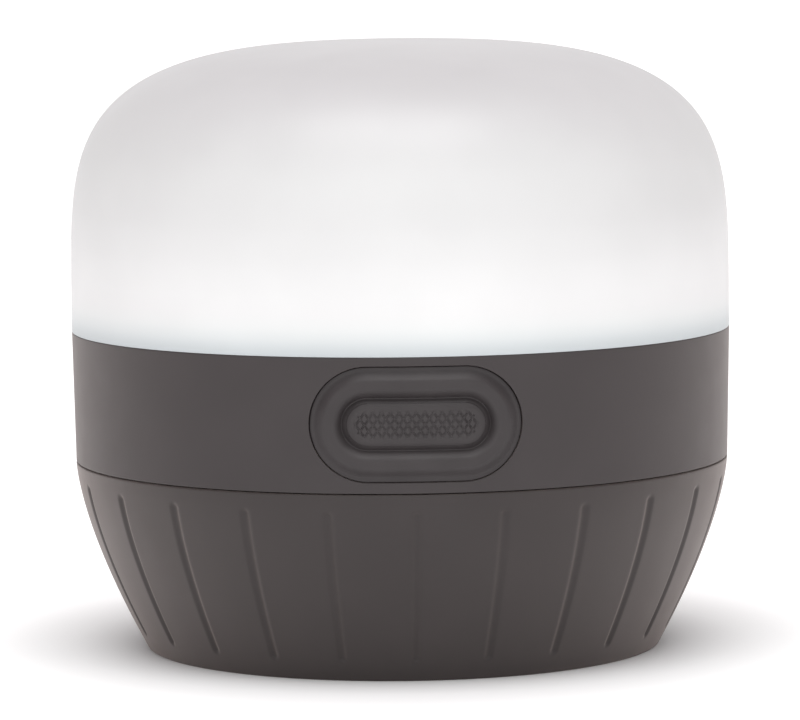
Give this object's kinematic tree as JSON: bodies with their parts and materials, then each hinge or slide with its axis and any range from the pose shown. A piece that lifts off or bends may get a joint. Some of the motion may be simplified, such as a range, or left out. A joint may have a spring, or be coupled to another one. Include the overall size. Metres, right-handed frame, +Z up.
{
  "type": "camping lantern",
  "caption": "Compact battery camping lantern: frosted globe, housing band with a push button, screw-off ribbed base with folding hang hooks.",
  "frame": {"origin": "centre of the base's underside, on the surface that the lantern stands on", "axes": "+Z up along the lantern's axis; -Y towards the push button; +X to the right of someone who faces the button"},
  "size_m": [0.0666, 0.0673, 0.0615],
  "materials": {
    "body": "fine moulded satin, warm dark grey",
    "button": "soft matte rubber, dark grey",
    "globe": "frosted translucent white",
    "white_plastic": "smooth white",
    "black_plastic": "moulded black",
    "hook": "moulded, slightly glossy, near black",
    "seal": "matte black elastomer",
    "board": "green solder mask",
    "capacitor": "tan ceramic",
    "led": "clear yellow phosphor",
    "cell": "plain blue-grey cell wrap",
    "nickel": "nickel-plated spring sheet",
    "steel": "zinc-plated steel"
  },
  "bodies": {
    "base": {"base_shell": "body", "hook_plate": "black_plastic", "plate_gasket": "seal", "hook_pin_front": "steel", "hook_pin_back": "steel", "plate_screw_1": "steel", "plate_screw_2": "steel", "plate_screw_3": "steel", "plate_screw_4": "steel"},
    "seal": {"base_gasket": "seal"},
    "head": {"globe": "globe", "globe_gasket": "seal", "lamp_housing": "body", "button_surround": "button", "tact_switch": "black_plastic", "battery_carrier": "black_plastic", "aaa_cell_1": "cell", "aaa_cell_2": "cell", "aaa_cell_3": "cell", "contact_positive": "nickel", "contact_negative": "nickel", "contact_bridge_left": "nickel", "contact_bridge_right": "nickel", "contact_spring_1": "steel", "contact_spring_2": "steel", "contact_spring_3": "steel", "main_board": "board", "led_package": "white_plastic", "led_lens": "led", "driver_chip": "black_plastic", "power_inductor": "black_plastic", "capacitor_1": "capacitor", "capacitor_2": "capacitor", "reflector_plate": "white_plastic", "board_screw_1": "steel", "carrier_screw_1": "steel", "board_screw_2": "steel", "carrier_screw_2": "steel", "board_screw_3": "steel", "carrier_screw_3": "steel", "board_screw_4": "steel", "carrier_screw_4": "steel"},
    "button": {"button_pad": "button"},
    "plunger": {"switch_plunger": "white_plastic"},
    "hook_front": {"hang_hook_front": "hook"},
    "hook_back": {"hang_hook_back": "hook"}
  },
  "joints": [
    {"name": "head_unscrew", "type": "hinge", "parent": "base", "child": "seal", "pos_m": [0, 0, 0.0187], "axis": [0, 0, 1], "range_deg": [0, 360]},
    {"name": "head_lift", "type": "slide", "parent": "seal", "child": "head", "axis": [0, 0, 1], "range_m": [0, 0.01505]},
    {"name": "button_press", "type": "slide", "parent": "head", "child": "button", "axis": [0, 1, 0], "range_m": [0, 0.0006], "stiffness_N_per_m": 1200},
    {"name": "plunger_press", "type": "slide", "parent": "head", "child": "plunger", "axis": [0, 1, 0], "range_m": [0, 0.000255]},
    {"name": "hook_front_fold", "type": "hinge", "parent": "base", "child": "hook_front", "pos_m": [0, -0.0027, 0.0046], "axis": [1, 0, 0], "range_deg": [0, 90]},
    {"name": "hook_back_fold", "type": "hinge", "parent": "base", "child": "hook_back", "pos_m": [0, 0.0027, 0.0046], "axis": [-1, 0, 0], "range_deg": [0, 90]}
  ],
  "couplings": [
    {"joint": "head_lift", "follows": "head_unscrew", "m_per_rad": 0.0023873},
    {"joint": "plunger_press", "follows": "button_press", "ratio": 0.41667}
  ]
}
